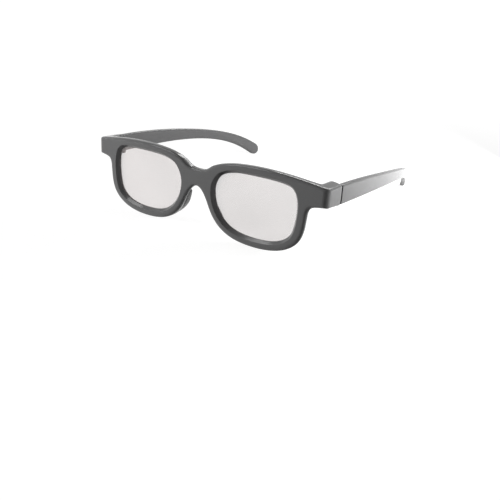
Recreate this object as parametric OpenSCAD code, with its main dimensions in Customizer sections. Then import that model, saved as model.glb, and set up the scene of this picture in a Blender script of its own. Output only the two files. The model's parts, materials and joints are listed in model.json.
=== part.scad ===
// Passive 3-D viewing glasses in millimetres: a moulded front, two laminated film lenses
// held from behind by snap-in rings, and two temples that fold on steel hinge pins.
// The pieces are drawn with the front upright, X to the wearer's left, Y to the rear and
// the lens centres at Z = 0. They are then leant back until the glasses stand on a table.

/* [Front] */
// Width of the front over its end pieces
front_w = 146; // [138:1:154]
// Thickness of the front moulding
front_t = 4.6; // [4.2:0.1:6]
// Radius of the front's sideways curve
front_curve_r = 860; // [400:10:2000]
// Rounding of the outer edge at the front
front_round = 1.5; // [0.6:0.1:1.8]
// Rounding of the outer edge at the rear
rear_round = 0.8; // [0.3:0.1:1]

/* [Lens openings] */
// Width of each lens opening
lens_w = 46.7; // [42:0.1:50]
// Height of each lens opening
lens_h = 30.9; // [27:0.1:34]
// Distance between the two openings over the nose
bridge_w = 21.6; // [18:0.1:25]
// Width of the bevel that leads down to the lens
bevel_w = 1.4; // [0.8:0.1:2]
// Depth of the bevel
bevel_d = 1.7; // [1:0.1:2]

/* [Rims and bridge] */
// Rim width above the lens
rim_top = 4.6; // [3.6:0.1:6]
// Rim width below the lens
rim_bottom = 4.75; // [3.8:0.05:6]
// Rim width on the temple side of the lens
rim_side = 5.8; // [4.6:0.1:7]
// Rim width on the nose side of the lens
rim_nose = 5; // [4.4:0.1:6]
// How far the rim's outer side is set in at the rear, below and beside the lens
rim_setback = 1.6; // [0:0.1:1.8]
// Height of the bridge's top edge above the lens centre
bridge_top = 12.6; // [10:0.1:15]
// Height of the bridge from its lower edge to its top edge
bridge_h = 8.7; // [6:0.1:11]

/* [End pieces] */
// Height of the end piece's top above the lens centre
end_top = 16.6; // [15:0.1:18]
// Height of the end piece
end_h = 9.5; // [8:0.1:11]
// Depth of the end piece from the front's surface to its rear face
end_depth = 13.6; // [12:0.1:17]
// Rounding where the rim turns into the end piece
end_fillet = 5.5; // [2:0.1:6]

/* [Nose pads] */
// How far a nose pad stands out behind the front
pad_depth = 2.2; // [1:0.1:4]
// Thickness of a nose pad's edge
pad_t = 1.1; // [0.8:0.1:1.4]
// Sideways lean of a nose pad for each millimetre of depth
pad_flare = 0.2; // [0:0.05:0.4]

/* [Lenses] */
// Thickness of one film
film_t = 0.18; // [0.1:0.01:0.25]
// Thickness of the glue between films
glue_t = 0.02; // [0.01:0.01:0.04]
// How far the films reach under the edge of the opening
lens_lap = 1.3; // [0.8:0.1:1.6]
// Thickness of the land that the front film seats on
land_t = 0.2; // [0.1:0.05:0.4]
// Gap round the films in their pocket
pocket_gap = 0.2; // [0.1:0.05:0.4]

/* [Lens retainers] */
// Gap round a retainer in its pocket
retainer_gap = 0.05; // [0.02:0.01:0.1]
// How far the opening of a retainer clears the lens opening
retainer_clear = 0.3; // [0:0.1:0.5]
// Thickness of the lip that a retainer snaps behind
lip_t = 0.55; // [0.4:0.05:0.8]
// Overhang of that lip
lip_w = 0.2; // [0.1:0.05:0.3]

/* [Temples] */
// Length of a temple from the end piece's gap to its tip, front to rear
temple_len = 121.5; // [105:0.5:135]
// Thickness of a temple
temple_t = 3.3; // [2.6:0.1:4]
// Height of a temple at the hinge
temple_h = 10.2; // [9:0.1:12]
// Height of a temple at its waist
waist_h = 6.1; // [5:0.1:8]
// Height of a temple near its tip
tip_h = 8.2; // [7:0.1:10]
// Drop of the arm along its length
arm_drop = 9.1; // [5:0.1:12]
// Further drop of the ear hook
hook_drop = 10.8; // [5:0.1:14]
// Outward splay of the arm over its length
arm_splay = 5.4; // [3:0.1:7]
// Inward wrap of the arm over its length
arm_wrap = 20; // [16:0.1:21]
// Rounding of a temple's long edges
temple_round = 1.1; // [0.6:0.1:1.3]
// Groove between the end piece and the temple
temple_gap = 0.85; // [0.4:0.05:1.2]

/* [Hinges] */
// Radius of the hinge pin
pin_r = 0.7; // [0.6:0.05:0.9]
// Interference of the pin in the end piece
pin_press = 0.01; // [0.005:0.005:0.02]
// Clearance of the pin in the temple's knuckle
pin_clear = 0.05; // [0.02:0.01:0.1]
// Plastic left over the top of the pin
pin_roof = 1.4; // [0.8:0.1:2]
// Radius of the end piece's ears round the pin
ear_r = 2.4; // [2.1:0.1:2.8]
// Height of the temple's knuckle between the ears
knuckle_h = 3.6; // [3:0.1:4.2]
// Clearance between the knuckle and each ear
knuckle_clear = 0.08; // [0.04:0.01:0.15]
// Clearance round the knuckle as it swings
swing_clear = 0.25; // [0.15:0.05:0.4]
// Distance of the hinge axis from the outer side
hinge_in = 5; // [4.6:0.1:5.6]
// Distance of the hinge axis from the end piece's rear face
hinge_back = 1.7; // [1.4:0.1:2]
// Wall of the end piece outside the knuckle
stop_wall = 1.5; // [1:0.1:2]
// Clearance at the stop that holds the temple open
stop_clear = 0.05; // [0.03:0.01:0.1]

/* [Hidden] */

frame_grey = [0.38, 0.38, 0.38];
retainer_grey = [0.3, 0.3, 0.3];
film_tint = [0.86, 0.85, 0.84, 0.5];
polariser_tint = [0.55, 0.54, 0.53, 0.6];
pin_steel = "silver";

// Places worked out from the sizes above
end_x = front_w / 2;
lens_cx = bridge_w / 2 + lens_w / 2;
rim_z = lens_h / 2 + rim_top;
bridge_bottom = bridge_top - bridge_h;
end_bottom = end_top - end_h;
end_rear = front_y(end_x) + end_depth;
temple_y = end_rear + temple_gap;
hinge_x = end_x - hinge_in;
hinge_y = end_rear - hinge_back;
hinge_z = end_top - end_h / 2;
ear_proud = 0.1;
knuckle_r = ear_r - ear_proud;
stop_x = end_x - stop_wall;
cut_over = 1;

// Depths behind the front's surface, and how far the pocket reaches past the opening
pocket_off = lens_lap + pocket_gap;
seat_depth = bevel_d + land_t;
retainer_front = film_front(4);
lip_depth = front_t - lip_t;

// Depth of the front side of film number i, counted from the front
function film_front(i) = seat_depth + glue_t + i * (film_t + glue_t);

// How far the front's surface has curved back at a distance x from the middle
function front_y(x) = front_curve_r - sqrt(front_curve_r ^ 2 - x ^ 2);

// General curve helpers
function unit(v) = v / norm(v);
function turned(v) = [-v[1], v[0]];
function at(p, i) = p[(i + len(p)) % len(p)];
function reversed(p) = [for (i = [len(p) - 1 : -1 : 0]) p[i]];

// A point of the smooth curve through b and c, with a and d as its neighbours
function blend(a, b, c, d, t) =
    (2 * b + (c - a) * t + (2 * a - 5 * b + 4 * c - d) * t ^ 2 + (3 * b - a - 3 * c + d) * t ^ 3) / 2;

function closed_curve(p, steps) =
    [for (i = [0 : len(p) - 1], j = [0 : steps - 1])
        blend(at(p, i - 1), p[i], at(p, i + 1), at(p, i + 2), j / steps)];

function bow(a, b, c, t) = a * (1 - t) ^ 2 + b * 2 * t * (1 - t) + c * t ^ 2;

// The height at x of the smooth line through points p, which run in order of x
function slope_at(p, i) = (p[i + 1][1] - p[i - 1][1]) / (p[i + 1][0] - p[i - 1][0]);
function height_at(p, x, i = 1) =
    x > p[i + 1][0] && i < len(p) - 3 ? height_at(p, x, i + 1) :
    let (w = p[i + 1][0] - p[i][0], t = (x - p[i][0]) / w)
    p[i][1] * (1 - t) ^ 2 * (1 + 2 * t) + p[i + 1][1] * t ^ 2 * (3 - 2 * t)
    + slope_at(p, i) * w * t * (1 - t) ^ 2 - slope_at(p, i + 1) * w * t ^ 2 * (1 - t);

// A closed line moved sideways by d, to the left of its direction, with its corners kept sharp
function left_normal(p, i) = unit(turned(at(p, i + 1) - p[i]));
function corner_normal(p, i) =
    let (a = left_normal(p, (i + len(p) - 1) % len(p)), b = left_normal(p, i)) (a + b) / (1 + a * b);
function moved_left(p, d) = [for (i = [0 : len(p) - 1]) p[i] + d * corner_normal(p, i)];

// The lens opening, clockwise from its top, as shares of its half width and half height
lens_shape = [[0, 1], [0.6, 0.97], [0.89, 0.84], [1, 0.42], [0.98, -0.2], [0.88, -0.63], [0.6, -0.9],
              [0.15, -1], [-0.37, -0.93], [-0.72, -0.67], [-0.94, -0.2], [-0.99, 0.36],
              [-0.83, 0.78], [-0.5, 0.96]];
lens_steps = 4;
lens_curve = closed_curve([for (p = lens_shape) [lens_cx + p[0] * lens_w / 2, p[1] * lens_h / 2]],
                          lens_steps);

// The lower edge of the front: the nose arch, round under the lens, and out to the end piece
nose_index = 10 * lens_steps;
temple_index = 4 * lens_steps;
arch_steps = 6;
fillet_steps = 5;

function rim_width(n) = norm([(n[0] < 0 ? rim_nose : rim_side) * n[0], rim_bottom * n[1]]);
function rim_point(i) =
    let (n = unit(turned(at(lens_curve, i + 1) - at(lens_curve, i - 1))))
    lens_curve[i] + n * rim_width(n);

arch_end = rim_point(nose_index);
arch_lean = rim_point(nose_index - 1) - arch_end;
arch_knee = [arch_end[0] + arch_lean[0] * (bridge_bottom - arch_end[1]) / arch_lean[1], bridge_bottom];
rim_x = lens_cx + lens_w / 2 + rim_side;
lower_half = concat(
    [for (i = [0 : arch_steps - 1]) bow([0, bridge_bottom], arch_knee, arch_end, i / arch_steps)],
    [for (i = [nose_index : -1 : temple_index]) rim_point(i)],
    [for (i = [0 : fillet_steps])
        bow([rim_x, end_bottom - end_fillet], [rim_x, end_bottom], [rim_x + end_fillet, end_bottom],
            i / fillet_steps)],
    [[end_x, end_bottom]]);

// The upper edge of the front: the dip over the nose, the brow over the lens, and the end piece
dip_x = bridge_w / 4;
dip_rise = 0.8;
brow_fall = 1;
end_fall = 1.6;
function brow_x(share) = lens_cx + share * lens_w / 2;
upper_line = [[-dip_x, bridge_top + dip_rise], [0, bridge_top], [dip_x, bridge_top + dip_rise],
              [brow_x(-1.04), (bridge_top + rim_z) / 2], [brow_x(-0.6), rim_z - brow_fall],
              [brow_x(0.12), rim_z], [brow_x(0.9), rim_z - brow_fall],
              [end_x, end_top], [end_x + 2 * hinge_in, end_top - end_fall]];

lower_edge = concat([for (i = [len(lower_half) - 1 : -1 : 1]) [-lower_half[i][0], lower_half[i][1]]],
                    lower_half);
upper_edge = [for (p = lower_edge) [p[0], height_at(upper_line, abs(p[0]))]];
front_outline = concat(lower_edge, reversed(upper_edge));

// Depth and inset of each section of the front, rounded at the front and at the rear
round_steps = 4;
front_sections = concat(
    [for (i = [0 : round_steps]) let (a = 90 * i / round_steps)
        [front_round * (1 - cos(a)), front_round * (1 - sin(a))]],
    [for (i = [0 : 2]) let (a = 45 * i)
        [front_t - rear_round * (1 - sin(a)), rear_round * (1 - cos(a))]]);

// The lean of the rim's outer side at outline point i: none at the nose, the top and the end pieces
function clamped(t) = max(0, min(1, t));
function lean_at(i) =
    let (x = abs(front_outline[i][0]))
    i >= len(lower_edge) ? 0 :
    rim_setback * clamped((x - lens_cx) / (lens_w / 4)) * clamped((rim_x + end_fillet - x) / end_fillet);

front_points = [for (s = front_sections, i = [0 : len(front_outline) - 1])
    let (lean = lean_at(i) * clamped((s[0] - front_round) / (front_t - front_round)),
         p = front_outline[i] + corner_normal(front_outline, i) * (s[1] + lean))
    [p[0], front_y(p[0]) + s[0], p[1]]];

// Side triangles between rings of n points, which run anticlockwise seen from the front
function ring_sides(n, rings) =
    [for (s = [0 : rings - 2], j = [0 : n - 1]) let (k = (j + 1) % n, a = s * n, b = a + n)
        each [[a + j, a + k, b + k], [a + j, b + k, b + j]]];

module front_plate() {
    n = len(front_outline);
    stations = len(lower_edge);
    last = (len(front_sections) - 1) * n;
    caps = [for (i = [0 : stations - 2]) let (u = n - 1 - i)
               each [[i, u, u - 1], [i, u - 1, i + 1],
                     [last + i, last + i + 1, last + u - 1], [last + i, last + u - 1, last + u]]];
    polyhedron(front_points, concat(ring_sides(n, len(front_sections)), caps));
}

// Everything that is cut out round a lens: the bevel, the seat and the pocket with its lip
module lens_cut() {
    sections = [[-cut_over, bevel_w * (1 + cut_over / bevel_d)], [bevel_d, 0], [seat_depth, 0],
                [seat_depth, pocket_off], [lip_depth, pocket_off], [lip_depth, pocket_off - lip_w],
                [front_t + cut_over, pocket_off - lip_w]];
    n = len(lens_curve);
    rings = len(sections);
    outline = reversed(lens_curve);
    points = [for (s = sections) for (p = moved_left(outline, -s[1])) [p[0], front_y(p[0]) + s[0], p[1]]];
    centres = [for (s = [sections[0], sections[rings - 1]]) [lens_cx, front_y(lens_cx) + s[0], 0]];
    last = (rings - 1) * n;
    caps = [for (j = [0 : n - 1]) let (k = (j + 1) % n)
               each [[rings * n, k, j], [rings * n + 1, last + j, last + k]]];
    polyhedron(concat(points, centres), concat(ring_sides(n, rings), caps));
}

// A slab that follows the front's curve between two depths
slab_steps = 24;
module lens_slab(near, far) {
    reach = lens_w / 2 + pocket_off + cut_over;
    xs = [for (i = [0 : slab_steps]) lens_cx - reach + 2 * reach * i / slab_steps];
    translate([0, 0, -lens_h])
        linear_extrude(2 * lens_h)
            polygon(concat([for (x = xs) [x, front_y(x) + near]],
                           reversed([for (x = xs) [x, front_y(x) + far]])));
}

// A straight bar of the lens outline, grown by off, through the whole front
module lens_bar(off) {
    depth = front_y(end_x) + front_t + cut_over;
    translate([0, depth, 0])
        rotate([90, 0, 0])
            linear_extrude(depth + cut_over) polygon(moved_left(reversed(lens_curve), -off));
}

module lens_film(i) {
    intersection() {
        lens_bar(lens_lap);
        lens_slab(film_front(i), film_front(i) + film_t);
    }
}

module lens_retainer() {
    intersection() {
        difference() {
            lens_bar(pocket_off - retainer_gap);
            lens_bar(retainer_clear);
        }
        lens_slab(retainer_front, lip_depth - retainer_gap);
    }
}

// The end piece, with ears round the hinge pin
ear_swell = 0.3;
module end_piece() {
    near = front_y(end_x) + front_round;
    inner = hinge_x - ear_r + ear_swell;
    translate([0, 0, end_bottom]) {
        linear_extrude(end_h)
            polygon([[inner, near], [end_x, near], [end_x, end_rear], [hinge_x, end_rear],
                     [hinge_x, hinge_y], [inner, hinge_y]]);
        translate([hinge_x, hinge_y, 0])
            cylinder(r = ear_r, h = end_h, $fn = 48);
    }
}

// The notch that the temple's knuckle swings in, and the blind hole for the pin
module hinge_cut() {
    inner = hinge_x - ear_r - cut_over;
    near = hinge_y - ear_r - swing_clear;
    notch_h = knuckle_h + 2 * knuckle_clear;
    translate([inner, near, hinge_z - notch_h / 2])
        cube([stop_x - inner, end_rear + ear_r - near, notch_h]);
    translate([hinge_x, hinge_y, end_bottom - cut_over])
        cylinder(r = pin_r - pin_press, h = end_h - pin_roof + cut_over, $fn = 48);
}

// A nose pad: a fin that rises and sinks along the nose side of the rim
pad_first_index = 5;
pad_last_index = 16;
pad_root = 1.5;
pad_root_w = 2;
pad_inset = 0.6;
pad_sink = 0.5;
module nose_pad() {
    mid = len(lower_half) - 1;
    count = pad_last_index - pad_first_index;
    points = [for (i = [0 : count])
        let (k = mid + pad_first_index + i, p = (front_outline[k] + front_outline[k + 1]) / 2,
             n = left_normal(front_outline, k),
             rise = (pad_depth + pad_sink) * sqrt(sin(180 * i / count)) - pad_sink,
             lean = pad_flare * (rise + pad_sink))
        each [for (q = [[pad_inset, front_t - pad_root], [pad_root_w, front_t - pad_root],
                        [pad_t + lean, front_t + rise], [pad_inset / 2 + lean, front_t + rise]])
            let (r = p + n * q[0]) [r[0], front_y(r[0]) + q[1], r[1]]]];
    last = 4 * count;
    polyhedron(points, concat(ring_sides(4, count + 1),
                              [[2, 1, 0], [3, 2, 0], [last, last + 1, last + 2], [last, last + 2, last + 3]]));
}

// The temple's centre line, drop, bow and height at a share u of its length
waist_share = 0.7;
function temple_drop(u) = arm_drop * u ^ 2 + hook_drop * u ^ 7;
function temple_slope(u) = (2 * arm_drop * u + 7 * hook_drop * u ^ 6) / temple_len;
function temple_bow(u) = arm_splay * u - arm_wrap * u ^ 3;
function temple_height(u) =
    u < waist_share ? waist_h + (temple_h - waist_h) * (1 + cos(180 * u / waist_share)) / 2
                 : waist_h + (tip_h - waist_h) * ((u - waist_share) / (1 - waist_share)) ^ 2;

// One ring of the temple: a rounded bar, square to the centre line, anticlockwise from the front
tip_thin_share = 0.3;
round_share = 0.9;
corner_steps = 2;
function temple_ring(u, shrink) =
    let (lean = atan(temple_slope(u)), a = temple_t / 2 * (1 - tip_thin_share * (1 - shrink)),
         b = temple_height(u) / 2 * shrink, r = min(temple_round, round_share * b))
    [for (c = [0 : 3], i = [0 : corner_steps])
        let (angle = 90 * (c - 1 + i / corner_steps), side = c < 2 ? 1 : -1, end = c % 3 == 0 ? -1 : 1,
             across = side * (a - r) + r * cos(angle), up = end * (b - r) + r * sin(angle))
        [end_x + temple_bow(u) - temple_t / 2 + across,
         temple_y + u * temple_len + up * sin(lean),
         hinge_z - temple_drop(u) + up * cos(lean)]];

arm_steps = 22;
tip_steps = 6;
tip_angle = 84;
tip_r = tip_h / 2;
tip_share = tip_r * cos(atan(temple_slope(1))) / temple_len;
temple_rings = concat(
    [for (i = [0 : arm_steps - 1]) temple_ring((1 - tip_share) * i / arm_steps, 1)],
    [for (i = [0 : tip_steps]) let (a = tip_angle * i / tip_steps)
        temple_ring(1 - tip_share * (1 - sin(a)), cos(a))]);
temple_points = [for (ring = temple_rings) each ring];

module temple_arm() {
    n = len(temple_rings[0]);
    rings = len(temple_rings);
    last = (rings - 1) * n;
    caps = [for (j = [1 : n - 2]) each [[0, j + 1, j], [last, last + j, last + j + 1]]];
    polyhedron(temple_points, concat(ring_sides(n, rings), caps));
}

// The knuckle between the ears, with the web that ties it to the arm
web_grip = 3;
web_inset = 0.4;
web_angle = 127;
module knuckle() {
    outer = stop_x - stop_clear;
    inner = end_x - temple_t + web_inset;
    translate([0, 0, hinge_z - knuckle_h / 2]) {
        linear_extrude(knuckle_h)
            polygon([[hinge_x, hinge_y], [outer, hinge_y], [outer, temple_y + web_grip],
                     [inner, temple_y + web_grip],
                     [hinge_x + knuckle_r * cos(web_angle), hinge_y + knuckle_r * sin(web_angle)]]);
        translate([hinge_x, hinge_y, 0])
            cylinder(r = knuckle_r, h = knuckle_h, $fn = 48);
    }
}

module temple() {
    difference() {
        union() {
            temple_arm();
            knuckle();
        }
        translate([hinge_x, hinge_y, hinge_z - knuckle_h])
            cylinder(r = pin_r + pin_clear, h = 2 * knuckle_h, $fn = 48);
    }
}

// A plain pin with chamfered ends
pin_chamfer = 0.2;
pin_end_gap = 0.1;
module hinge_pin() {
    length = end_h - pin_roof - 2 * pin_end_gap;
    translate([hinge_x, hinge_y, end_bottom + pin_end_gap])
        rotate_extrude($fn = 48)
            polygon([[0, 0], [pin_r - pin_chamfer, 0], [pin_r, pin_chamfer], [pin_r, length - pin_chamfer],
                     [pin_r - pin_chamfer, length], [0, length]]);
}

// The glasses lean back until the rims and the temple tips stand on the table
tip_zone_share = 0.9;
low_rim = [for (p = front_points) if (p[2] < -lens_h / 2) p];
low_tip = [for (p = temple_points) if (p[1] > temple_y + tip_zone_share * temple_len) p];
rest_lean = atan(max([for (r = low_rim) min([for (t = low_tip) (t[2] - r[2]) / (t[1] - r[1])])]));
function leant(p) = [p[0], p[1] * cos(rest_lean) + p[2] * sin(rest_lean),
                     p[2] * cos(rest_lean) - p[1] * sin(rest_lean)];
rest_lift = -min([for (p = low_rim) leant(p)[2]]);
rest_back = -(min([for (p = front_points) leant(p)[1]]) + max([for (p = temple_points) leant(p)[1]])) / 2;

module resting() {
    translate([0, rest_back, rest_lift])
        rotate([-rest_lean, 0, 0]) children();
}

// The right-hand pieces mirror the left-hand ones
module on_right() {
    mirror([1, 0, 0]) children();
}

module front_frame() {
    color(frame_grey) resting() difference() {
        union() {
            front_plate();
            end_piece();
            on_right() end_piece();
            nose_pad();
            on_right() nose_pad();
        }
        lens_cut();
        on_right() lens_cut();
        hinge_cut();
        on_right() hinge_cut();
    }
}

module left_retainer() { color(retainer_grey) resting() lens_retainer(); }
module right_retainer() { color(retainer_grey) resting() on_right() lens_retainer(); }
module left_cover_film() { color(film_tint) resting() lens_film(0); }
module left_retarder_film() { color(film_tint) resting() lens_film(1); }
module left_polariser_film() { color(polariser_tint) resting() lens_film(2); }
module left_backing_film() { color(film_tint) resting() lens_film(3); }
module right_cover_film() { color(film_tint) resting() on_right() lens_film(0); }
module right_retarder_film() { color(film_tint) resting() on_right() lens_film(1); }
module right_polariser_film() { color(polariser_tint) resting() on_right() lens_film(2); }
module right_backing_film() { color(film_tint) resting() on_right() lens_film(3); }
module left_temple() { color(frame_grey) resting() temple(); }
module right_temple() { color(frame_grey) resting() on_right() temple(); }
module left_hinge_pin() { color(pin_steel) resting() hinge_pin(); }
module right_hinge_pin() { color(pin_steel) resting() on_right() hinge_pin(); }

front_frame();
left_retainer();
right_retainer();
left_cover_film();
left_retarder_film();
left_polariser_film();
left_backing_film();
right_cover_film();
right_retarder_film();
right_polariser_film();
right_backing_film();
left_temple();
right_temple();
left_hinge_pin();
right_hinge_pin();
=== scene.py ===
import json
import math

import bmesh
import bpy
from mathutils import Matrix, Quaternion, Vector
from mathutils.geometry import interpolate_bezier


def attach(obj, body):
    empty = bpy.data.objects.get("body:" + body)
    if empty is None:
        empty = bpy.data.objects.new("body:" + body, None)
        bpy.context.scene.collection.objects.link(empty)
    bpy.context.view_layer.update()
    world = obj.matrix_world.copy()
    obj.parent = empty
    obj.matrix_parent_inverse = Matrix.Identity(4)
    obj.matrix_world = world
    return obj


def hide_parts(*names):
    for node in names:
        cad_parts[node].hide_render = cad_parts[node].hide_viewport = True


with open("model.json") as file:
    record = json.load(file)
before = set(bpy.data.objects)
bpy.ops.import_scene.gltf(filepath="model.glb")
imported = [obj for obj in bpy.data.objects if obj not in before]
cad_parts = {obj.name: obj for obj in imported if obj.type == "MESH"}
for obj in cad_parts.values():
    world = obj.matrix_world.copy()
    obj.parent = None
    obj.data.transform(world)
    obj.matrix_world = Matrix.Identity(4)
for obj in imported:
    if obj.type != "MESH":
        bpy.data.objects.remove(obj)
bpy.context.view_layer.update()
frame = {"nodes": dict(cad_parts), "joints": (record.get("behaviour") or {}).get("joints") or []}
scene = bpy.context.scene
scene.view_settings.view_transform = "Standard"
print("packed frame loaded:", len(frame["nodes"]), "nodes")

# Pieces are modelled upright in millimetres: x to the wearer's left, y to the rear, z up from the
# lens centres. They are then leant back onto the table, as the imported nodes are.
mm = 0.001
weld = 0.001    # points closer than this are one
margin = 0.1
sharpTurn = 1
hingePoint = Vector((68, 15.004, 11.85))
leftFold = next(j for j in frame["joints"] if j["name"] == "left_temple_fold")
leanBack = Matrix.Rotation(-math.atan2(leftFold["axis"][1], leftFold["axis"][2]), 4, "X")
standing = Matrix.Translation(Vector(leftFold["pos_m"]) - leanBack @ (hingePoint * mm)) @ leanBack
toTable = standing @ Matrix.Scale(mm, 4)

photoView = {
    "place": (194.02, -239.52, 90.65),
    "azimuth": 33.49,
    "elevation": 21.25,
    "roll": 3.85,
    "focal": 45.24,
}


def addCamera(view):
    around, above = math.radians(view["azimuth"]), math.radians(view["elevation"])
    back = Vector((math.sin(around) * math.cos(above), -math.cos(around) * math.cos(above), math.sin(above)))
    aim = (-back).to_track_quat("-Z", "Y") @ Quaternion((0, 0, 1), math.radians(view["roll"]))
    camera = bpy.data.objects.new("camera", bpy.data.cameras.new("camera"))
    camera.data.lens = view["focal"]
    camera.data.sensor_width = 36
    camera.data.clip_start = 0.01
    camera.matrix_world = standing @ Matrix.Translation(Vector(view["place"]) * mm) @ aim.to_matrix().to_4x4()
    scene.collection.objects.link(camera)
    scene.camera = camera


addCamera(photoView)
print("camera set")


# node helpers
def addNode(tree, kind, spot, **settings):
    node = tree.nodes.new(kind)
    node.location = (spot[0] * 190, spot[1] * -170)
    for name, value in settings.items():
        setattr(node, name, value)
    return node


def newMaterial(name):
    material = bpy.data.materials.new(name)
    material.use_nodes = True
    tree = material.node_tree
    tree.nodes.clear()
    output = addNode(tree, "ShaderNodeOutputMaterial", (6, 0))
    return material, tree, output


# The skin of a moulded part: slow drift of tone, patches of haze, hairline rubs and a fine ripple
def makeMouldSkin():
    group = bpy.data.node_groups.new("mouldSkin", "ShaderNodeTree")
    face = group.interface
    face.new_socket("Tone", in_out="INPUT", socket_type="NodeSocketColor")
    for name, value in (("Drift", 0.05), ("Gloss", 0.25), ("Haze", 0.08), ("Rubs", 0.06)):
        face.new_socket(name, in_out="INPUT", socket_type="NodeSocketFloat").default_value = value
    face.new_socket("Color", in_out="OUTPUT", socket_type="NodeSocketColor")
    face.new_socket("Roughness", in_out="OUTPUT", socket_type="NodeSocketFloat")
    face.new_socket("Height", in_out="OUTPUT", socket_type="NodeSocketFloat")
    link = group.links.new
    given = addNode(group, "NodeGroupInput", (-5, 0))
    out = addNode(group, "NodeGroupOutput", (5, 0))
    place = addNode(group, "ShaderNodeTexCoord", (-5, 2))

    cloud = addNode(group, "ShaderNodeTexNoise", (-3, -1))
    cloud.inputs["Scale"].default_value = 55
    cloud.inputs["Detail"].default_value = 3
    link(place.outputs["Object"], cloud.inputs["Vector"])
    shift = addNode(group, "ShaderNodeMath", (-2, -1), operation="SUBTRACT")
    shift.inputs[1].default_value = 0.5
    link(cloud.outputs["Fac"], shift.inputs[0])
    swing = addNode(group, "ShaderNodeMath", (-1, -1), operation="MULTIPLY_ADD")
    swing.inputs[2].default_value = 1
    link(shift.outputs[0], swing.inputs[0])
    link(given.outputs["Drift"], swing.inputs[1])
    tone = addNode(group, "ShaderNodeVectorMath", (1, -1), operation="SCALE")
    link(given.outputs["Tone"], tone.inputs[0])
    link(swing.outputs[0], tone.inputs["Scale"])
    link(tone.outputs["Vector"], out.inputs["Color"])

    mist = addNode(group, "ShaderNodeTexNoise", (-3, 1))
    mist.inputs["Scale"].default_value = 190
    mist.inputs["Detail"].default_value = 4
    link(place.outputs["Object"], mist.inputs["Vector"])
    haze = addNode(group, "ShaderNodeMath", (-1, 1), operation="MULTIPLY_ADD")
    link(mist.outputs["Fac"], haze.inputs[0])
    link(given.outputs["Haze"], haze.inputs[1])
    link(given.outputs["Gloss"], haze.inputs[2])

    stretch = addNode(group, "ShaderNodeMapping", (-4, 3))
    stretch.inputs["Rotation"].default_value = (0.2, 0.5, 0.9)
    stretch.inputs["Scale"].default_value = (2600, 70, 110)
    link(place.outputs["Object"], stretch.inputs["Vector"])
    hair = addNode(group, "ShaderNodeTexNoise", (-3, 3))
    hair.inputs["Scale"].default_value = 1
    hair.inputs["Detail"].default_value = 1
    link(stretch.outputs[0], hair.inputs["Vector"])
    thin = addNode(group, "ShaderNodeMapRange", (-2, 3))
    thin.inputs["From Min"].default_value = 0.66
    thin.inputs["From Max"].default_value = 0.74
    link(hair.outputs["Fac"], thin.inputs["Value"])
    rubbed = addNode(group, "ShaderNodeMath", (1, 1), operation="MULTIPLY_ADD")
    link(thin.outputs[0], rubbed.inputs[0])
    link(given.outputs["Rubs"], rubbed.inputs[1])
    link(haze.outputs[0], rubbed.inputs[2])
    link(rubbed.outputs[0], out.inputs["Roughness"])

    ripple = addNode(group, "ShaderNodeTexNoise", (-3, 5))
    ripple.inputs["Scale"].default_value = 420
    ripple.inputs["Detail"].default_value = 2
    link(place.outputs["Object"], ripple.inputs["Vector"])
    link(ripple.outputs["Fac"], out.inputs["Height"])
    return group


mouldSkin = makeMouldSkin()


def mouldedPlastic(name, look):
    material, tree, output = newMaterial(name)
    skin = addNode(tree, "ShaderNodeGroup", (0, 0), node_tree=mouldSkin)
    skin.inputs["Tone"].default_value = (*look["tone"], 1)
    for key in ("Drift", "Gloss", "Haze", "Rubs"):
        skin.inputs[key].default_value = look[key.lower()]
    bump = addNode(tree, "ShaderNodeBump", (2, 2))
    bump.inputs["Strength"].default_value = look["ripple"]
    bump.inputs["Distance"].default_value = 0.0002
    shader = addNode(tree, "ShaderNodeBsdfPrincipled", (4, 0))
    shader.inputs["IOR"].default_value = look["ior"]
    tree.links.new(skin.outputs["Color"], shader.inputs["Base Color"])
    tree.links.new(skin.outputs["Roughness"], shader.inputs["Roughness"])
    tree.links.new(skin.outputs["Height"], bump.inputs["Height"])
    tree.links.new(bump.outputs["Normal"], shader.inputs["Normal"])
    tree.links.new(shader.outputs[0], output.inputs[0])
    return material


frameGrey = mouldedPlastic("frameGrey", {
    "tone": (0.115, 0.115, 0.116), "drift": 0.10, "gloss": 0.10, "haze": 0.08, "rubs": 0.08,
    "ripple": 0.04, "ior": 1.3,
})
ringGrey = mouldedPlastic("ringGrey", {
    "tone": (0.075, 0.075, 0.076), "drift": 0.12, "gloss": 0.42, "haze": 0.14, "rubs": 0.06,
    "ripple": 0.12, "ior": 1.46,
})


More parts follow.
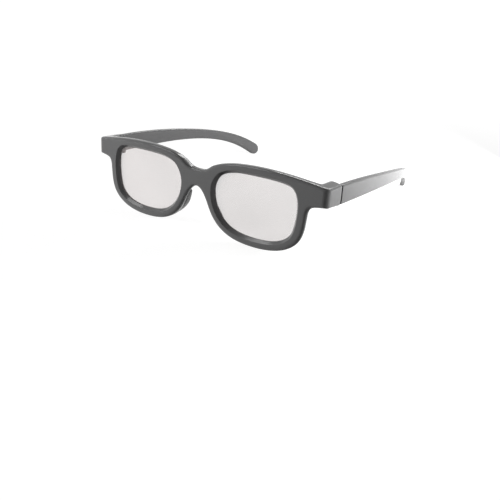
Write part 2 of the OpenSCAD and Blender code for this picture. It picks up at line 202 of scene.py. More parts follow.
def paleFilm(name, look):
    material, tree, output = newMaterial(name)
    place = addNode(tree, "ShaderNodeTexCoord", (-3, 0))
    slant = addNode(tree, "ShaderNodeMapping", (-2, 0))
    slant.inputs["Rotation"].default_value = (0, math.radians(look["slant"]), 0)
    # painted sheen: the base colour swings between the low and high tints in broad slanted bands, a reflection
    # streak painted across the film
    paintedSheen = addNode(tree, "ShaderNodeTexWave", (-1, 0), wave_profile="SIN")
    paintedSheen.inputs["Scale"].default_value = look["bands"]
    paintedSheen.inputs["Distortion"].default_value = 1.2
    paintedSheen.inputs["Detail"].default_value = 1
    filmTintAndSheen = addNode(tree, "ShaderNodeMix", (1, 0), data_type="RGBA")
    filmTintAndSheen.inputs["A"].default_value = (*look["low"], 1)
    filmTintAndSheen.inputs["B"].default_value = (*look["high"], 1)
    smear = addNode(tree, "ShaderNodeTexNoise", (-1, 2))
    smear.inputs["Scale"].default_value = 120
    smear.inputs["Detail"].default_value = 3
    rough = addNode(tree, "ShaderNodeMapRange", (1, 2))
    rough.inputs["To Min"].default_value = look["gloss"]
    rough.inputs["To Max"].default_value = look["gloss"] + look["haze"]
    shader = addNode(tree, "ShaderNodeBsdfPrincipled", (4, 0))
    shader.inputs["IOR"].default_value = 1.45
    shader.inputs["Alpha"].default_value = look["cover"]
    link = tree.links.new
    link(place.outputs["Object"], slant.inputs["Vector"])
    link(slant.outputs[0], paintedSheen.inputs["Vector"])
    link(paintedSheen.outputs["Fac"], filmTintAndSheen.inputs["Factor"])
    link(filmTintAndSheen.outputs["Result"], shader.inputs["Base Color"])
    link(place.outputs["Object"], smear.inputs["Vector"])
    link(smear.outputs["Fac"], rough.inputs["Value"])
    link(rough.outputs[0], shader.inputs["Roughness"])
    link(shader.outputs[0], output.inputs[0])
    return material


# low and high are the film's own tint, and the slanted bands between them are a painted sheen
lensFilm = paleFilm("lensFilm", {
    "low": (0.44, 0.375, 0.36), "high": (0.50, 0.43, 0.415), "slant": 38, "bands": 9,
    "gloss": 0.05, "haze": 0.08, "cover": 0.26,
})


def drawnSteel(name, look):
    material, tree, output = newMaterial(name)
    place = addNode(tree, "ShaderNodeTexCoord", (-3, 0))
    stretch = addNode(tree, "ShaderNodeMapping", (-2, 0))
    stretch.inputs["Scale"].default_value = (4000, 4000, 150)
    lines = addNode(tree, "ShaderNodeTexNoise", (-1, 0))
    lines.inputs["Scale"].default_value = 1
    shine = addNode(tree, "ShaderNodeMapRange", (1, 0))
    shine.inputs["To Min"].default_value = look["gloss"]
    shine.inputs["To Max"].default_value = look["gloss"] + look["haze"]
    shader = addNode(tree, "ShaderNodeBsdfPrincipled", (4, 0))
    shader.inputs["Base Color"].default_value = (*look["tone"], 1)
    shader.inputs["Metallic"].default_value = 1
    tree.links.new(place.outputs["Object"], stretch.inputs["Vector"])
    tree.links.new(stretch.outputs[0], lines.inputs["Vector"])
    tree.links.new(lines.outputs["Fac"], shine.inputs["Value"])
    tree.links.new(shine.outputs[0], shader.inputs["Roughness"])
    tree.links.new(shader.outputs[0], output.inputs[0])
    return material


pinSteel = drawnSteel("pinSteel", {"tone": (0.55, 0.55, 0.56), "gloss": 0.22, "haze": 0.25})
print("materials made")


# mesh helpers
def growLoop(bm, loop, places, closed=True):
    ends = loop[1:] + loop[:1] if closed else loop[1:]
    edges = [bm.edges.get((a, b)) for a, b in zip(loop, ends)]
    made = set(bmesh.ops.extrude_edge_only(bm, edges=edges)["geom"])
    grown = [next(e.other_vert(v) for e in v.link_edges if e.other_vert(v) in made) for v in loop]
    for vert, place in zip(grown, places):
        vert.co = place
    return grown


def startLoop(bm, places):
    loop = bmesh.ops.create_circle(bm, cap_ends=False, segments=len(places), radius=1)["verts"]
    for vert, place in zip(loop, places):
        vert.co = place
    return loop


def creaseLayer(bm):
    layers = bm.edges.layers.float
    return layers.get("crease_edge") or layers.new("crease_edge")


def creaseLoop(bm, loop, amount, closed=True):
    layer = creaseLayer(bm)
    ends = loop[1:] + loop[:1] if closed else loop[1:]
    for a, b in zip(loop, ends):
        bm.edges.get((a, b))[layer] = amount


def finishPiece(name, bm, material, body, nodes, levels=2):
    bm.transform(toTable)
    bmesh.ops.recalc_face_normals(bm, faces=bm.faces[:])
    mesh = bpy.data.meshes.new(name)
    bm.to_mesh(mesh)
    bm.free()
    mesh.polygons.foreach_set("use_smooth", [True] * len(mesh.polygons))
    mesh.materials.append(material)
    piece = bpy.data.objects.new(name, mesh)
    scene.collection.objects.link(piece)
    if levels:
        smooth = piece.modifiers.new("smooth", "SUBSURF")
        smooth.levels = smooth.render_levels = levels
    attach(piece, body)
    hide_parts(*nodes)
    return piece


def flat(x, z):
    return Vector((x, 0, z))


def quarterTurn(v):
    return flat(-v.z, v.x).normalized()


def smoothLoop(points, steps):
    loop = []
    for i, here in enumerate(points):
        before, after, beyond = points[i - 1], points[(i + 1) % len(points)], points[(i + 2) % len(points)]
        handles = (here + (after - before) / 6, after - (beyond - here) / 6)
        loop += interpolate_bezier(here, *handles, after, steps + 1)[:-1]
    return loop


def bow(a, b, c, t):
    return a * (1 - t) ** 2 + b * 2 * t * (1 - t) + c * t ** 2


# the lens opening, clockwise from its top as seen from the front
lens = {
    "wide": 46.7, "high": 30.9, "centre": 34.15, "steps": 6,
    "shape": [(0, 1), (0.6, 0.97), (0.89, 0.84), (1, 0.42), (0.98, -0.2), (0.88, -0.63), (0.6, -0.9),
              (0.15, -1), (-0.37, -0.93), (-0.72, -0.67), (-0.94, -0.2), (-0.99, 0.36),
              (-0.83, 0.78), (-0.5, 0.96)],
    "lap": 1.3, "seat": 1.92, "thick": 0.78, "rings": (0.8, 0.55, 0.3, 0.08),
}
opening = smoothLoop([flat(lens["centre"] + x * lens["wide"] / 2, z * lens["high"] / 2)
                      for x, z in lens["shape"]], lens["steps"])
openingOut = [quarterTurn(opening[(i + 1) % len(opening)] - opening[i - 1]) for i in range(len(opening))]

front = {
    "half": 73, "thick": 4.6, "bow": 860, "round": 1.5, "rimRound": 2.5, "endRound": 2.6, "roundSteps": 4,
    "rearRound": 0.8, "setback": 1.6, "archSet": 1.6, "archFrom": 3, "archTo": 12, "archFade": 5,
    "rimBottom": 4.75, "rimSide": 5.8, "rimNose": 5, "rimTop": 20.05,
    "bridgeTop": 12.6, "bridgeLow": 3.9, "bridgeColumns": 6, "bridgeBulge": 1.8,
    "dipHalf": 5.4, "dipRise": 0.8, "browFall": 1, "browReach": 14, "endRun": 10, "endFall": 1.6,
    "endTop": 16.6, "endLow": 7.4, "endDeep": 13.6, "endDip": 0.8, "fillet": 5.5,
    "lugColumns": (65.9, 69.9, 71.5), "lugRows": (14.9, 13.73, 11.85, 9.97, 8.8),
    "bevel": (1.4, 1.7), "bevelSteps": (0.12, 0.9, 1), "edgeHold": 0.25, "seat": 1.9, "pocket": 1.5,
    "lip": 1.3, "lipDeep": 4.05, "lipEdge": 0.2, "lipFlare": 0.6,
    "notchDeep": 12.35, "earRear": 17.1, "earEdge": 0.35,
}


def bowBack(x):
    return front["bow"] - math.sqrt(front["bow"] ** 2 - x ** 2)


def sunk(p, depth):
    return Vector((p.x, bowBack(p.x) + depth, p.z))


def lensRing(offset, depth):
    return [sunk(p + n * offset, depth) for p, n in zip(opening, openingOut)]


def browAt(share):
    return lens["centre"] + share * lens["wide"] / 2


# the upper edge: dip over the nose, brow over the lens, end piece
dipEdge = front["bridgeTop"] + front["dipRise"]
browEdge = front["rimTop"] - front["browFall"]
browLine = [(-front["dipHalf"], dipEdge), (0, front["bridgeTop"]), (front["dipHalf"], dipEdge),
            (browAt(-1.04), (front["bridgeTop"] + front["rimTop"]) / 2), (browAt(-0.6), browEdge),
            (browAt(0.12), front["rimTop"]), (browAt(0.9), browEdge),
            (front["half"], front["endTop"]),
            (front["half"] + front["endRun"], front["endTop"] - front["endFall"])]


def browHeight(x):
    i = next((k for k in range(1, len(browLine) - 2) if x <= browLine[k + 1][0]), len(browLine) - 3)
    (x0, z0), (x1, z1), (x2, z2), (x3, z3) = browLine[i - 1:i + 3]
    wide = x2 - x1
    t = (x - x1) / wide
    rise = (z2 - z0) / (x2 - x0) * wide * t * (1 - t) ** 2 - (z3 - z1) / (x3 - x1) * wide * t ** 2 * (1 - t)
    return z1 * (1 - t) ** 2 * (1 + 2 * t) + z2 * t ** 2 * (3 - 2 * t) + rise


def browPoint(i):
    near, far = 0, front["browReach"]
    halvings = 40
    for _ in range(halvings):
        reach = (near + far) / 2
        p = opening[i] + openingOut[i] * reach
        if p.z < browHeight(p.x):
            near = reach
        else:
            far = reach
    return p


def rimPoint(i):
    n = openingOut[i]
    side = front["rimNose"] if n.x < 0 else front["rimSide"]
    return opening[i] + n * math.hypot(side * n.x, front["rimBottom"] * n.z)


rimX = lens["centre"] + lens["wide"] / 2 + front["rimSide"]
filletFrom = flat(rimX, front["endLow"] - front["fillet"])
filletKnee = flat(rimX, front["endLow"])
filletTo = flat(rimX + front["fillet"], front["endLow"])


def lugLow(x):
    if x >= filletTo.x:
        return front["endLow"]
    return bow(filletFrom, filletKnee, filletTo, math.sqrt((x - rimX) / front["fillet"])).z


# where the opening's points change what they face: end piece top and bottom, fillet, rim, arch, bridge
lugTopAt, lugLowAt, filletAt, rimAt, archAt, bridgeAt = 12, 18, 21, 24, 60, 72
columns = front["bridgeColumns"]
lastPoint = len(opening) - 1


def makeOutline():
    archEnd = rimPoint(archAt)
    run = rimPoint(archAt - 1) - archEnd
    knee = flat(archEnd.x + run.x * (front["bridgeLow"] - archEnd.z) / run.z, front["bridgeLow"])
    line = [bow(flat(0, front["bridgeLow"]), knee, archEnd, i / columns) for i in range(columns)]
    line += [rimPoint(i) for i in range(archAt, rimAt - 1, -1)]
    rimEnd, rimSteps = rimPoint(rimAt), rimAt - filletAt
    line += [rimEnd.lerp(filletFrom, (rimAt - i) / rimSteps) for i in range(rimAt - 1, filletAt, -1)]
    filletSteps = 2 * (filletAt - lugLowAt)
    line += [bow(filletFrom, filletKnee, filletTo, (filletAt - i) / filletSteps)
             for i in range(filletAt, lugLowAt - 1, -1)]
    line += [flat(x, lugLow(x)) for x in (*front["lugColumns"], front["half"])]
    line += [flat(front["half"], z) for z in reversed(front["lugRows"])]
    line += [flat(x, browHeight(x)) for x in (front["half"], *reversed(front["lugColumns"]))]
    line += [browPoint(i) for i in range(lugTopAt, -1, -1)]
    line += [browPoint(i) for i in range(lastPoint, bridgeAt - 1, -1)]
    topX = line[-1].x
    overBridge = [topX * (1 - c / columns) for c in range(1, columns + 1)]
    line += [flat(x, browHeight(x)) for x in overBridge]
    return line


def inwardNormals(line):
    ends = [flat(-p.x, p.z) for p in (line[1], line[-2])]
    padded = [ends[0], *line, ends[1]]
    normals = []
    for before, here, after in zip(padded, padded[1:], padded[2:]):
        a, b = quarterTurn(here - before), quarterTurn(after - here)
        normals.append((a + b) / (1 + a.dot(b)))
    return normals


outline = makeOutline()
outlineIn = inwardNormals(outline)
rimCount = columns + archAt - lugLowAt + 1
lugEdge = range(rimCount, len(outline) - columns - (lastPoint - bridgeAt + 1) - (lugTopAt + 1))


def clamp(t):
    return max(0, min(1, t))


# how far outline point i is set in at the rear face: round edge, and lean of the arch and of the rim beside
# and below the lens
def rearInset(i):
    if i in lugEdge:
        return 0, 0
    x = outline[i].x
    leaning = i < rimCount
    lean = clamp((x - lens["centre"]) / (lens["wide"] / 4)) * clamp((filletTo.x - x) / front["fillet"])
    fade = clamp((front["archTo"] - i) / front["archFade"])
    arch = front["archSet"] * clamp(i / front["archFrom"]) * fade
    return front["rearRound"], front["setback"] * lean + arch if leaning else 0


# the round of the front edge at outline point i, and how deep it goes: fuller round the end piece's corner
def frontRound(i):
    inward = outlineIn[i] * front["round"]
    if columns < i < rimCount:
        below = clamp(outlineIn[i].z)
        return inward.lerp(outlineIn[i] * front["rimRound"], below), front["round"]
    if i not in lugEdge:
        return inward, front["round"]
    out = clamp((outline[i].x - front["lugColumns"][1]) / (front["half"] - front["lugColumns"][1]))
    rise = inward.z if abs(outlineIn[i].z) > 0.5 else 0
    return flat(-front["endRound"] * out, rise), front["round"] + (front["endRound"] - front["round"]) * out


def frontRow(angle):
    row = []
    for i, p in enumerate(outline):
        inward, deep = frontRound(i)
        row.append(sunk(p + inward * (1 - math.sin(angle)), deep * (1 - math.cos(angle))))
    return row


def edgeRow(depth, inset):
    return [sunk(p + n * inset(i), depth) for i, (p, n) in enumerate(zip(outline, outlineIn))]


# One broad face of the half front, as quads round the lens, over the bridge and out to the end piece.
# Gives the lens loop, the outer edge and the columns of the end piece.
def layFace(bm, hole, depth, edge):
    ring = startLoop(bm, lensRing(hole, depth))
    held = growLoop(bm, ring, lensRing(hole + front["edgeHold"], depth))
    edgeAt = dict(zip(range(archAt, lugLowAt - 1, -1), edge[columns:]))
    topEdge = edge[lugEdge[-1] + 1:]
    edgeAt.update(zip([*range(lugTopAt, -1, -1), *range(lastPoint, bridgeAt - 1, -1)], topEdge))
    low, high = edgeAt[archAt], edgeAt[bridgeAt]
    rows = bridgeAt - archAt
    for i in range(archAt + 1, bridgeAt):
        t = (i - archAt) / rows
        edgeAt[i] = low.lerp(high, t) - Vector((front["bridgeBulge"] * math.sin(math.pi * t), 0, 0))
    for i in range(lugTopAt + 1, lugLowAt):
        edgeAt[i] = edgeAt[lugTopAt].lerp(edgeAt[lugLowAt], (i - lugTopAt) / (lugLowAt - lugTopAt))
    outer = growLoop(bm, held, [edgeAt[i] for i in range(len(opening))])

    bridge = [outer[archAt:bridgeAt + 1]]
    for c in range(1, columns + 1):
        low, high = edge[columns - c], edge[len(edge) - columns - 1 + c]
        bulge = front["bridgeBulge"] * (1 - c / columns)
        places = [low.lerp(high, r / rows) - Vector((bulge * math.sin(math.pi * r / rows), 0, 0))
                  for r in range(rows + 1)]
        bridge.append(growLoop(bm, bridge[-1], places, closed=False))

    lug = [outer[lugTopAt:lugLowAt + 1]]
    lugLine = [edge[i] for i in lugEdge]
    lastColumn = len(front["lugColumns"])
    for c in range(lastColumn):
        top, low = lugLine[-1 - c], lugLine[c]
        places = [top, *[flat((top.x + low.x) / 2, z) for z in front["lugRows"]], low]
        lug.append(growLoop(bm, lug[-1], places, closed=False))
    ending = lugLine[lastColumn:len(lugLine) - lastColumn]
    lug.append(growLoop(bm, lug[-1], list(reversed(ending)), closed=False))
    for column in (*bridge[1:], *lug[1:]):
        for vert in column:
            vert.co = sunk(vert.co, depth)
    for vert in outer[archAt:bridgeAt + 1] + outer[lugTopAt:lugLowAt + 1]:
        vert.co = sunk(vert.co, depth)

    rim = [column[0] for column in reversed(bridge[1:])]
    rim += [outer[i] for i in range(archAt, lugLowAt - 1, -1)]
    rim += [column[-1] for column in lug[1:]]
    rim += lug[-1][-2:0:-1]
    rim += [column[0] for column in reversed(lug[1:])]
    rim += [outer[i] for i in (*range(lugTopAt, -1, -1), *range(lastPoint, bridgeAt - 1, -1))]
    rim += [column[-1] for column in bridge[1:]]
    return ring, rim, lug


def buildFront():
    bm = bmesh.new()
    bevelWide, bevelDeep = front["bevel"]
    thick, edgeRound = front["thick"], front["round"]
    frontRing, frontRim, _ = layFace(bm, bevelWide, 0, frontRow(0))
    rearRow = edgeRow(thick, lambda i: sum(rearInset(i)))
    rearRing, rearRim, lug = layFace(bm, front["lip"] + front["lipFlare"], thick, rearRow)

    # the end piece grows back from the rear face, and leaves a notch for the temple's knuckle
    block = [bm.faces.get((a[r], a[r + 1], b[r + 1], b[r])) for a, b in zip(lug[1:], lug[2:])
             for r in range(len(lug[0]) - 1)]
    halfDip = front["endDip"] / 2
    block = pushBack(bm, block, lambda x: front["notchDeep"], halfDip)
    notchTop, notchLow = front["lugRows"][1], front["lugRows"][3]
    wall = front["lugColumns"][2]
    block = [f for f in block if f.calc_center_median().x > wall
             or not notchLow < f.calc_center_median().z < notchTop]
    endRear = bowBack(front["half"]) + front["endDeep"]
    rear = {True: front["earRear"], False: endRear}
    earTo = front["lugColumns"][1] + margin
    block = pushBack(bm, block, lambda x: rear[x < earTo] - front["earEdge"], halfDip)
    pushBack(bm, block, lambda x: rear[x < earTo], 0)
    creaseNotch(bm, wall, notchLow, notchTop)

    # the outer side, rounded at the front and at the rear
    rim = frontRim
    for step in range(1, front["roundSteps"] + 1):
        rim = growLoop(bm, rim, frontRow(math.pi / 2 * step / front["roundSteps"]), closed=False)
    for a in (0, 45):
        bend = 1 - math.cos(math.radians(a))
        depth = thick - front["rearRound"] * (1 - math.sin(math.radians(a)))
        share = ((depth - edgeRound) / (thick - edgeRound)) ** 2
        rim = growLoop(bm, rim, edgeRow(depth, lambda i: rearInset(i)[0] * bend + rearInset(i)[1] * share),
                       closed=False)
    growLoop(bm, rim, [v.co.copy() for v in rearRim], closed=False)

    # down the bevel to the lens, then the seat, pocket and lip behind it
    slope = [(bevelWide * (1 - t), bevelDeep * t) for t in front["bevelSteps"]]
    pocket = [(0, front["seat"]), (front["pocket"], front["seat"]), (front["pocket"], front["lipDeep"]),
              (front["lip"], front["lipDeep"]), (front["lip"], front["lipDeep"] + front["lipEdge"])]
    ring = frontRing
    for offset, depth in slope + pocket:
        ring = growLoop(bm, ring, lensRing(offset, depth))
        if (offset, depth) in pocket:
            creaseLoop(bm, ring, 1)
    growLoop(bm, ring, [v.co.copy() for v in rearRing])
    bmesh.ops.remove_doubles(bm, verts=bm.verts[:], dist=weld)

    buildPads(bm)
    bmesh.ops.mirror(bm, geom=bm.verts[:] + bm.edges[:] + bm.faces[:], matrix=Matrix.Identity(4),
                     merge_dist=weld, axis="X")
    return bm


def pushBack(bm, faces, rearAt, dip):
    made = bmesh.ops.extrude_face_region(bm, geom=faces)["geom"]
    for vert in made:
        if isinstance(vert, bmesh.types.BMVert):
            vert.co.y = rearAt(vert.co.x)
            if vert.co.z < front["lugRows"][-1] - margin:
                vert.co.z -= dip
    bmesh.ops.delete(bm, geom=faces, context="FACES")
    return [f for f in made if isinstance(f, bmesh.types.BMFace)]


# the notch keeps square inner corners, so that the knuckle has its room
def creaseNotch(bm, wall, low, top):
    layer = creaseLayer(bm)
    deep, hair = front["notchDeep"], 0.01
    for edge in bm.edges:
        ends = [v.co for v in edge.verts]
        atWall = all(abs(p.x - wall) < hair for p in ends)
        atFront = all(abs(p.y - deep) < hair for p in ends)
        level = any(all(abs(p.z - z) < hair for p in ends) for z in (low, top))
        inside = all(p.y > deep - hair and low - hair < p.z < top + hair and p.x < wall + hair for p in ends)
        if inside and (atWall and atFront or level and (atWall or atFront)):
            edge[layer] = 1


# each width of a pad is a pair of insets from the outline
pad = {
    "first": 4, "last": 15, "deep": 3.3, "sink": 0.5, "flare": 0.05, "root": 3.1, "peak": 0.85, "full": 0.8,
    "base": (0.6, 2), "waist": (0.45, 1.7), "shoulder": (0.3, 1.2), "crest": (0.5, 0.95),
    "waistAt": 0.3, "shoulderAt": 0.85,
}


# a nose pad: a fin that rises and sinks along the nose side of the rim
def buildPads(bm):
    ring = None
    count = pad["last"] - pad["first"]
    for i in range(count + 1):
        at = pad["first"] + i
        swell = math.sin(math.pi * (i / count) ** pad["peak"])
        rise = (pad["deep"] + pad["sink"]) * abs(swell) ** pad["full"] - pad["sink"]
        lean = pad["flare"] * (rise + pad["sink"])
        top = front["thick"]
        levels = [(pad["base"], 0, pad["root"]), (pad["waist"], 0, top + pad["waistAt"] * rise),
                  (pad["shoulder"], lean, top + pad["shoulderAt"] * rise), (pad["crest"], lean, top + rise)]
        up = [(wide[1] + shift, depth) for wide, shift, depth in levels]
        down = [(wide[0] + shift, depth) for wide, shift, depth in reversed(levels)]
        section = down[-1:] + up + down[:-1]
        places = [sunk(outline[at] + outlineIn[at] * inset, depth) for inset, depth in section]
        ring = growLoop(bm, ring, places) if ring else startLoop(bm, places)
        if i == 0:
            firstRing = ring
    for end in (firstRing, ring):
        bm.faces.new(end)


frontPiece = finishPiece("frontFrame", buildFront(), frameGrey, "front", ["front_frame"])
print("front made:", len(frontPiece.data.polygons), "faces")


retainer = {
    "inner": 0.3, "outer": 1.45, "near": 2.72, "far": 4.0, "land": 0.3, "slope": 0.8, "edge": 0.1, "corner": 0.5,
}


def buildRetainer():
    bm = bmesh.new()
    section = [(retainer["inner"], retainer["near"]), (retainer["outer"], retainer["near"]),
               (retainer["outer"], retainer["far"]), (retainer["inner"] + retainer["slope"], retainer["far"]),
               (retainer["inner"], retainer["near"] + retainer["land"])]
    first = startLoop(bm, lensRing(*section[0]))
    loops = [first]
    for offset, depth in section[1:]:
        loops.append(growLoop(bm, loops[-1], lensRing(offset, depth)))
    growLoop(bm, loops[-1], [v.co.copy() for v in first])
    bmesh.ops.remove_doubles(bm, verts=bm.verts[:], dist=weld)
    bmesh.ops.recalc_face_normals(bm, faces=bm.faces[:])
    corners = [e for e in bm.edges if e.calc_face_angle() > retainer["corner"]]
    bmesh.ops.bevel(bm, geom=corners, offset=retainer["edge"], segments=2, profile=0.5, affect="EDGES",
                    material=-1)
    return bm


# the laminate shows as one lens: the films lie closer together than the eye can part
def buildLens():
    bm = bmesh.new()
    loop = startLoop(bm, lensRing(lens["lap"], lens["seat"]))
    edge = [bm.edges.get((a, b)) for a, b in zip(loop, loop[1:] + loop[:1])]
    middle = flat(lens["centre"], 0)
    for share in lens["rings"]:
        places = [sunk(middle + (p + n * lens["lap"] - middle) * share, lens["seat"])
                  for p, n in zip(opening, openingOut)]
        loop = growLoop(bm, loop, places)
    bmesh.ops.contextual_create(bm, geom=loop)
    for e in edge:
        e.smooth = False
    made = bmesh.ops.extrude_face_region(bm, geom=bm.faces[:], use_keep_orig=True)["geom"]
    rear = [v for v in made if isinstance(v, bmesh.types.BMVert)]
    bmesh.ops.translate(bm, verts=rear, vec=(0, lens["thick"], 0))
    for e in bm.edges:
        if len(e.link_faces) == 2 and e.calc_face_angle() > sharpTurn:
            e.smooth = False
    return bm


def mirrored(bm):
    bmesh.ops.scale(bm, vec=(-1, 1, 1), verts=bm.verts[:])
    return bm


temple = {
    "long": 121.5, "thick": 3.3, "high": 9.6, "sit": 0.3, "sitFade": 0.4, "waist": 6.1, "waistAt": 0.7,
    "drop": 9.1, "hook": 10.8, "hookPower": 7, "splay": 5.4, "wrap": 20, "gap": 0.85, "stations": 24,
    "tip": 8.2, "tipThin": 0.3, "tipTurn": 84, "tipSteps": 6,
    "round": 0.8, "roundShare": 0.9, "edge": 0.3, "edgeEase": 0.3,
    "knuckle": 2.3, "knuckleHigh": 3.6, "knuckleSides": 32, "knuckleEdge": 0.2, "bore": 0.76,
    "webOuter": 71.45, "webInner": 70.1, "webGrip": 3, "webFree": 1.7, "webRoot": (0.55, 0.75),
}
templeFront = bowBack(front["half"]) + front["endDeep"] + temple["gap"]


def armDrop(u):
    return temple["drop"] * u ** 2 + temple["hook"] * u ** temple["hookPower"]


def armSlope(u):
    power = temple["hookPower"]
    return math.atan((2 * temple["drop"] * u + power * temple["hook"] * u ** (power - 1)) / temple["long"])


def armHigh(u):
    waist, waistAt = temple["waist"], temple["waistAt"]
    if u < waistAt:
        return waist + (temple["high"] - waist) * (1 + math.cos(math.pi * u / waistAt)) / 2
    return waist + (temple["tip"] - waist) * ((u - waistAt) / (1 - waistAt)) ** 2


# a rounded bar's section, square to the arm, with its flat sides held straight
def armSection(u, shrink=1, inset=0):
    a = temple["thick"] / 2 * (1 - temple["tipThin"] + temple["tipThin"] * shrink) - inset
    b = armHigh(u) / 2 * shrink - inset
    r = min(temple["round"], temple["roundShare"] * b)
    h, k = b - r, r * (1 - math.sqrt(0.5))
    quarter = [(a, h / 2), (a, h), (a - k, b - k), (a - r, b)]
    over = [(-x, z) for x, z in reversed(quarter)]
    under = [(-x, -z) for x, z in quarter]
    side = [(x, -z) for x, z in reversed(quarter)]
    lean = armSlope(u)
    across = front["half"] + temple["splay"] * u - temple["wrap"] * u ** 3 - temple["thick"] / 2
    middle = hingePoint.z - armDrop(u) - temple["sit"] * clamp(1 - u / temple["sitFade"])
    along = templeFront + u * temple["long"]
    return [Vector((across + x, along + z * math.sin(lean), middle + z * math.cos(lean)))
            for x, z in quarter + over + under + side]


def buildTemple():
    bm = bmesh.new()
    edge = temple["edge"] / temple["long"]
    tipShare = temple["tip"] / 2 * math.cos(armSlope(1)) / temple["long"]
    first = startLoop(bm, armSection(0, inset=temple["edge"]))
    bmesh.ops.contextual_create(bm, geom=first)
    ease = temple["edgeEase"]
    ring = growLoop(bm, first, armSection(edge * ease, inset=temple["edge"] * ease))
    for i in range(temple["stations"]):
        ring = growLoop(bm, ring, armSection(edge + (1 - tipShare - edge) * i / temple["stations"]))
    for i in range(temple["tipSteps"] + 1):
        a = math.radians(temple["tipTurn"]) * i / temple["tipSteps"]
        ring = growLoop(bm, ring, armSection(1 - tipShare * (1 - math.sin(a)), shrink=math.cos(a)))
    bmesh.ops.contextual_create(bm, geom=ring)
    buildKnuckle(bm)
    return bm


def buildKnuckle(bm):
    r, high = temple["knuckle"], temple["knuckleHigh"]
    sides = temple["knuckleSides"]
    turns = [Quaternion((0, 0, 1), math.tau * k / sides) for k in range(sides)]
    tube = [(r, -high / 2), (r, high / 2), (temple["bore"], high / 2), (temple["bore"], -high / 2)]
    loops = []
    for radius, rise in tube + tube[:1]:
        places = [hingePoint + turn @ Vector((radius, 0, rise)) for turn in turns]
        loops.append(growLoop(bm, loops[-1], places) if loops else startLoop(bm, places))
    bmesh.ops.remove_doubles(bm, verts=loops[0] + loops[-1], dist=weld)
    bm.normal_update()
    barrel = {v for loop in loops for v in loop if v.is_valid}
    rims = [e for e in bm.edges if barrel.issuperset(e.verts) and e.calc_face_angle() > sharpTurn]
    bmesh.ops.bevel(bm, geom=rims, offset=temple["knuckleEdge"], segments=2, profile=0.5, affect="EDGES",
                    material=-1)
    rear = templeFront + temple["webGrip"]
    free = temple["webFree"] * temple["bore"]    # the web stays clear of the bore
    rootX, rootY = temple["webRoot"]
    corners = [(hingePoint.x + free, hingePoint.y), (temple["webOuter"], hingePoint.y),
               (temple["webOuter"], rear), (temple["webInner"], rear),
               (hingePoint.x - rootX * r, hingePoint.y + rootY * r), (hingePoint.x, hingePoint.y + free)]
    low = [bm.verts.new((x, y, hingePoint.z - high / 2)) for x, y in corners]
    base = bm.faces.new(low)
    made = bmesh.ops.extrude_face_region(bm, geom=[base], use_keep_orig=True)["geom"]
    bmesh.ops.translate(bm, verts=[v for v in made if isinstance(v, bmesh.types.BMVert)], vec=(0, 0, high))
    web = {f for v in low for f in v.link_faces} | {f for f in made if isinstance(f, bmesh.types.BMFace)}
    bmesh.ops.bevel(bm, geom=list({e for f in web for e in f.edges}), offset=temple["knuckleEdge"], segments=2,
                    profile=0.5, affect="EDGES", material=-1)


for side in ("left", "right"):
    turn = mirrored if side == "right" else (lambda bm: bm)
    films = [f"{side}_{layer}_film" for layer in ("cover", "retarder", "polariser", "backing")]
    finishPiece(f"{side}Retainer", turn(buildRetainer()), ringGrey, "front", [f"{side}_retainer"],
                levels=1)
    finishPiece(f"{side}Lens", turn(buildLens()), lensFilm, "front", films, levels=0)
    finishPiece(f"{side}Temple", turn(buildTemple()), frameGrey, f"{side}_arm", [f"{side}_temple"])
    pin = frame["nodes"][f"{side}_hinge_pin"]
    pin.data.materials.clear()
    pin.data.materials.append(pinSteel)
    print(side, "retainer, lens, temple and pin done")


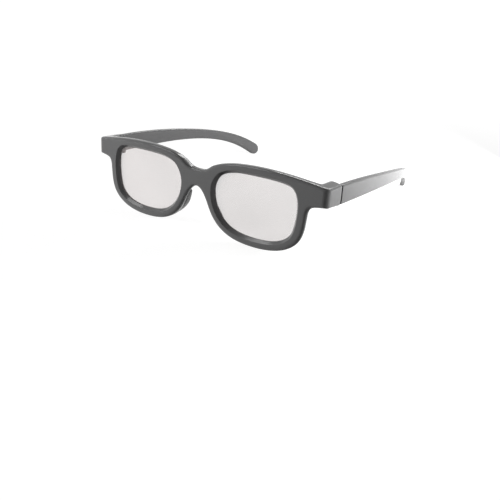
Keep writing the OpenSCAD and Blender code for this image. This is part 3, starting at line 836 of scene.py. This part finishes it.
# plain white sweep: lit like any floor, and shown a little brighter than its light makes it
def addStage(look):
    material, tree, output = newMaterial("whiteFloor")
    path = addNode(tree, "ShaderNodeLightPath", (-2, 0))
    seen = addNode(tree, "ShaderNodeMath", (-1, 0), operation="ADD")
    shown = addNode(tree, "ShaderNodeMath", (0, 0), operation="ADD", use_clamp=True)
    lift = addNode(tree, "ShaderNodeMath", (1, 0), operation="MULTIPLY")
    place = addNode(tree, "ShaderNodeTexCoord", (-2, 2))
    away = addNode(tree, "ShaderNodeVectorMath", (-1, 2), operation="LENGTH")
    sweep = addNode(tree, "ShaderNodeMapRange", (0, 2), interpolation_type="SMOOTHSTEP")
    limits = (look["near"], look["far"], *look["lift"])
    for key, value in zip(("From Min", "From Max", "To Min", "To Max"), limits):
        sweep.inputs[key].default_value = value
    shader = addNode(tree, "ShaderNodeBsdfPrincipled", (4, 0))
    shader.inputs["Base Color"].default_value = (*look["floor"], 1)
    shader.inputs["Roughness"].default_value = 0.9
    shader.inputs["Specular IOR Level"].default_value = 0.1
    shader.inputs["Emission Color"].default_value = (1, 1, 1, 1)
    link = tree.links.new
    link(path.outputs["Is Camera Ray"], seen.inputs[0])
    link(path.outputs["Is Glossy Ray"], seen.inputs[1])
    link(seen.outputs[0], shown.inputs[0])
    link(path.outputs["Is Transmission Ray"], shown.inputs[1])
    link(place.outputs["Object"], away.inputs[0])
    link(away.outputs["Value"], sweep.inputs["Value"])
    link(shown.outputs[0], lift.inputs[0])
    link(sweep.outputs[0], lift.inputs[1])
    link(lift.outputs[0], shader.inputs["Emission Strength"])
    link(shader.outputs[0], output.inputs[0])
    bm = bmesh.new()
    bmesh.ops.create_grid(bm, x_segments=8, y_segments=8, size=look["reach"])
    mesh = bpy.data.meshes.new("floor")
    bm.to_mesh(mesh)
    bm.free()
    mesh.materials.append(material)
    floor = bpy.data.objects.new("floor", mesh)
    scene.collection.objects.link(floor)

    world = bpy.data.worlds.new("studio")
    scene.world = world
    world.use_nodes = True
    sky = world.node_tree
    sky.nodes.clear()
    ray = addNode(sky, "ShaderNodeLightPath", (-3, 0))
    first = addNode(sky, "ShaderNodeMath", (-2, 0), operation="ADD")
    second = addNode(sky, "ShaderNodeMath", (-1, 0), operation="ADD", use_clamp=True)
    level = addNode(sky, "ShaderNodeMapRange", (0, 0))
    level.inputs["To Min"].default_value = look["ambient"]
    level.inputs["To Max"].default_value = 1
    shell = addNode(sky, "ShaderNodeBackground", (1, 0))
    shell.inputs["Color"].default_value = (1, 1, 1, 1)
    out = addNode(sky, "ShaderNodeOutputWorld", (2, 0))
    link = sky.links.new
    link(ray.outputs["Is Camera Ray"], first.inputs[0])
    link(ray.outputs["Is Glossy Ray"], first.inputs[1])
    link(first.outputs[0], second.inputs[0])
    link(ray.outputs["Is Transmission Ray"], second.inputs[1])
    link(second.outputs[0], level.inputs["Value"])
    link(level.outputs[0], shell.inputs["Strength"])
    link(shell.outputs[0], out.inputs[0])


def addLamp(name, spot, aim, size, power, mirrored=True, lighting=True):
    data = bpy.data.lights.new(name, "AREA")
    data.shape = "RECTANGLE"
    data.size, data.size_y = size
    data.energy = power
    lamp = bpy.data.objects.new(name, data)
    lamp.location = spot
    lamp.rotation_mode = "QUATERNION"
    lamp.rotation_quaternion = (Vector(aim) - Vector(spot)).to_track_quat("-Z", "Y")
    lamp.visible_glossy = mirrored
    lamp.visible_diffuse = lighting
    lamp.visible_camera = False
    scene.collection.objects.link(lamp)


addStage({
    "floor": (0.35, 0.35, 0.35), "lift": (0.85, 1), "near": 0.15, "far": 0.4, "reach": 3, "ambient": 0.02,
})
addLamp("rearPanel", (-0.139, 0.556, 0.42), (0, 0, 0.02), (0.36, 0.18), 1.6, lighting=False)
addLamp("rearSide", (0.15, 0.08, 0.045), (0.05, 0, 0.02), (0.2, 0.1), 0.84, mirrored=False)
addLamp("frontSide", (-1.08, -0.70, 0.18), (0, -0.05, 0.02), (0.6, 0.6), 31, mirrored=False)
addLamp("topPanel", (-0.31, -0.2, 0.51), (0, -0.07, 0.02), (0.22, 0.22), 1.0, lighting=False)
print("stage and lamps set")
